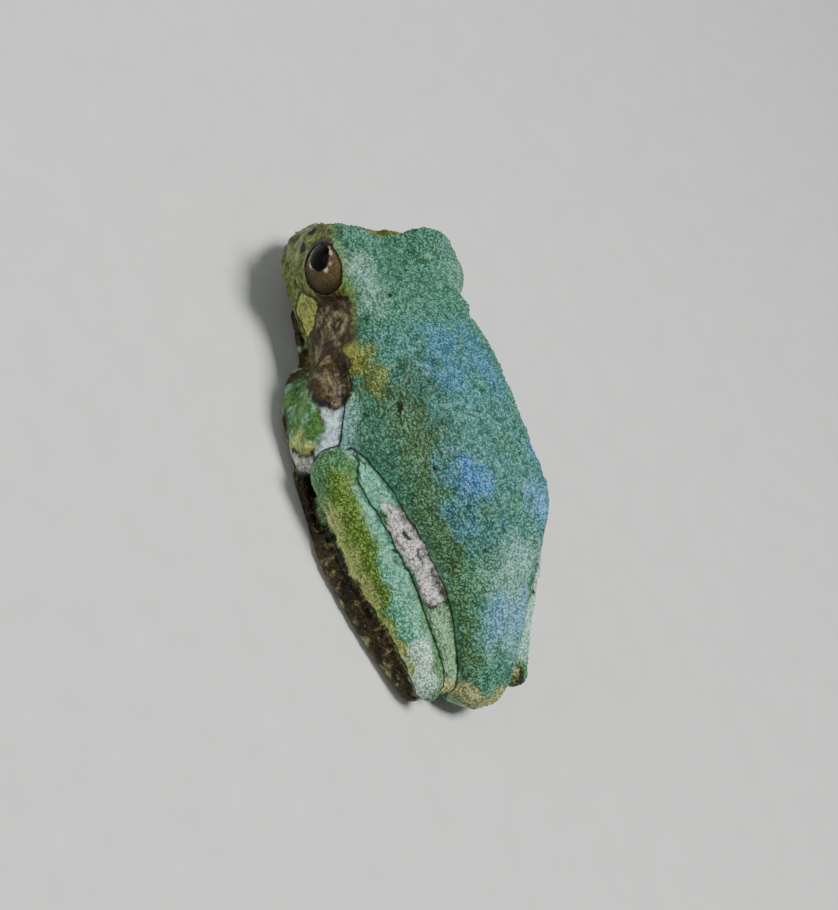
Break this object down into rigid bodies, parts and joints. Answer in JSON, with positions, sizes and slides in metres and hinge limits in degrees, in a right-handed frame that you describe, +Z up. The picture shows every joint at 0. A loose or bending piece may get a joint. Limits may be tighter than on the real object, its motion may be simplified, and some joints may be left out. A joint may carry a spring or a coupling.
{
  "type": "tree frog",
  "caption": "Life-size tree frog at rest, belly and chin down, arms folded under the head and hind legs closed along the flanks, with granular green skin.",
  "frame": {"origin": "centre of the flat of the belly, on the floor under the middle of the trunk", "axes": "+Z up; -Y is the way the frog faces; +X is its left side"},
  "size_m": [0.0205, 0.0335, 0.011],
  "materials": {
    "back_skin": "moist, granular, blue-green",
    "limb_skin": "moist, granular, yellow-green with pale and brown marks",
    "face_skin": "moist, smooth, mottled brown",
    "belly_skin": "moist, granular, pale",
    "eye": "wet gloss, bronze iris with a black oval pupil"
  },
  "bodies": {
    "root": {"head": "back_skin", "trunk": "back_skin", "lower_jaw": "belly_skin", "hand_left": "limb_skin", "hand_right": "limb_skin", "foot_left": "limb_skin", "foot_right": "limb_skin", "forearm_left": "limb_skin", "forearm_right": "limb_skin", "upper_arm_left": "limb_skin", "upper_arm_right": "limb_skin", "tarsus_left": "limb_skin", "tarsus_right": "limb_skin", "shank_left": "limb_skin", "shank_right": "limb_skin", "thigh_left": "limb_skin", "thigh_right": "limb_skin", "eye_left": "eye", "eye_right": "eye", "tympanum_left": "face_skin", "tympanum_right": "face_skin"}
  },
  "joints": []
}
